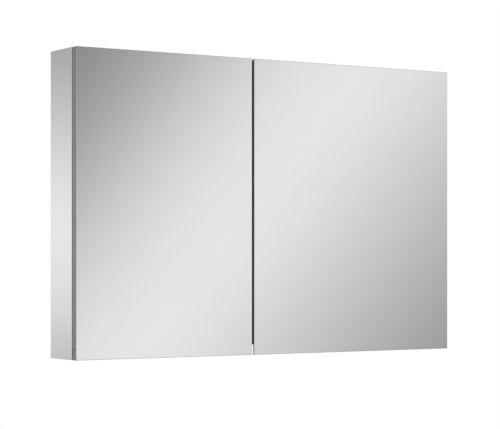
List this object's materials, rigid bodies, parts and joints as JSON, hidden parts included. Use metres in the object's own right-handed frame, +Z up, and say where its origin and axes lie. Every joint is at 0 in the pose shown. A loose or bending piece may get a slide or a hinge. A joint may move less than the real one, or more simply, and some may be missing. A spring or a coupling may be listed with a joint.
{
  "type": "mirror cabinet",
  "caption": "Wall-hung bathroom cabinet with frameless mirror doors of unequal width, mirror sides, glass shelves and mirrors that hang low as finger grips.",
  "frame": {"origin": "middle of the four wall screws, on the wall plane, at the cabinet's middle width and height", "axes": "+Z up, +X to the right seen from the front, +Y into the wall; the doors face -Y"},
  "size_m": [0.9, 0.11, 0.6],
  "materials": {
    "mirror_silver": "polished silvered glass",
    "core_fibreboard": "raw fibreboard",
    "frame_aluminium": "dark grey anodised, satin",
    "key_zinc": "die-cast, matte",
    "bush_nylon": "natural nylon",
    "plate_steel": "nickel-plated, fine brushed",
    "bumper_silicone": "clear soft silicone",
    "pin_steel": "turned, bright, with dark grey feet",
    "pin_nickel": "nickel-plated",
    "screw_zinc": "zinc-plated",
    "dowel_beech": "turned beech",
    "catch_plastic": "moulded, fine texture",
    "magnet_ferrite": "dark sintered",
    "shelf_glass": "clear float glass with polished edges",
    "rail_plywood": "sanded birch plywood",
    "back_hardboard": "hardboard with a white face",
    "white_board": "chipboard with a white melamine face, satin"
  },
  "bodies": {
    "cabinet": {"assembly_screws": "screw_zinc", "back_panel": "back_hardboard", "back_panel_screws": "screw_zinc", "bottom_panel": "white_board", "catch_screws": "screw_zinc", "centre_partition": "white_board", "hinge_plate_screws": "plate_steel", "left_catch_body": "catch_plastic", "left_catch_magnet": "magnet_ferrite", "left_lower_hinge_plate": "plate_steel", "left_lower_shelf": "shelf_glass", "left_side_mirror": "mirror_silver", "left_side_panel": "white_board", "left_upper_hinge_plate": "plate_steel", "left_upper_shelf": "shelf_glass", "lower_hanging_rail": "rail_plywood", "lower_hinge_pins": "pin_steel", "partition_dowels": "dowel_beech", "right_catch_body": "catch_plastic", "right_catch_magnet": "magnet_ferrite", "right_lower_hinge_plate": "plate_steel", "right_lower_shelf": "shelf_glass", "right_side_mirror": "mirror_silver", "right_side_panel": "white_board", "right_upper_hinge_plate": "plate_steel", "right_upper_shelf": "shelf_glass", "shelf_pins": "pin_nickel", "top_panel": "white_board", "upper_hanging_rail": "rail_plywood", "upper_hinge_pins": "pin_steel"},
    "left_door": {"left_door_back_mirror": "mirror_silver", "left_door_bottom_rail": "frame_aluminium", "left_door_bumpers": "bumper_silicone", "left_door_core_board": "core_fibreboard", "left_door_corner_keys": "key_zinc", "left_door_corner_screws": "screw_zinc", "left_door_free_stile": "frame_aluminium", "left_door_front_mirror": "mirror_silver", "left_door_hinge_bushes": "bush_nylon", "left_door_hinge_stile": "frame_aluminium", "left_door_strike_plate": "plate_steel", "left_door_strike_screws": "screw_zinc", "left_door_top_rail": "frame_aluminium"},
    "right_door": {"right_door_back_mirror": "mirror_silver", "right_door_bottom_rail": "frame_aluminium", "right_door_bumpers": "bumper_silicone", "right_door_core_board": "core_fibreboard", "right_door_corner_keys": "key_zinc", "right_door_corner_screws": "screw_zinc", "right_door_free_stile": "frame_aluminium", "right_door_front_mirror": "mirror_silver", "right_door_hinge_bushes": "bush_nylon", "right_door_hinge_stile": "frame_aluminium", "right_door_strike_plate": "plate_steel", "right_door_strike_screws": "screw_zinc", "right_door_top_rail": "frame_aluminium"}
  },
  "joints": [
    {"name": "left_door_hinge", "type": "hinge", "parent": "cabinet", "child": "left_door", "pos_m": [-0.444, -0.1, 0], "axis": [0, 0, -1], "range_deg": [0, 100]},
    {"name": "right_door_hinge", "type": "hinge", "parent": "cabinet", "child": "right_door", "pos_m": [0.444, -0.1, 0], "axis": [0, 0, 1], "range_deg": [0, 100]}
  ]
}
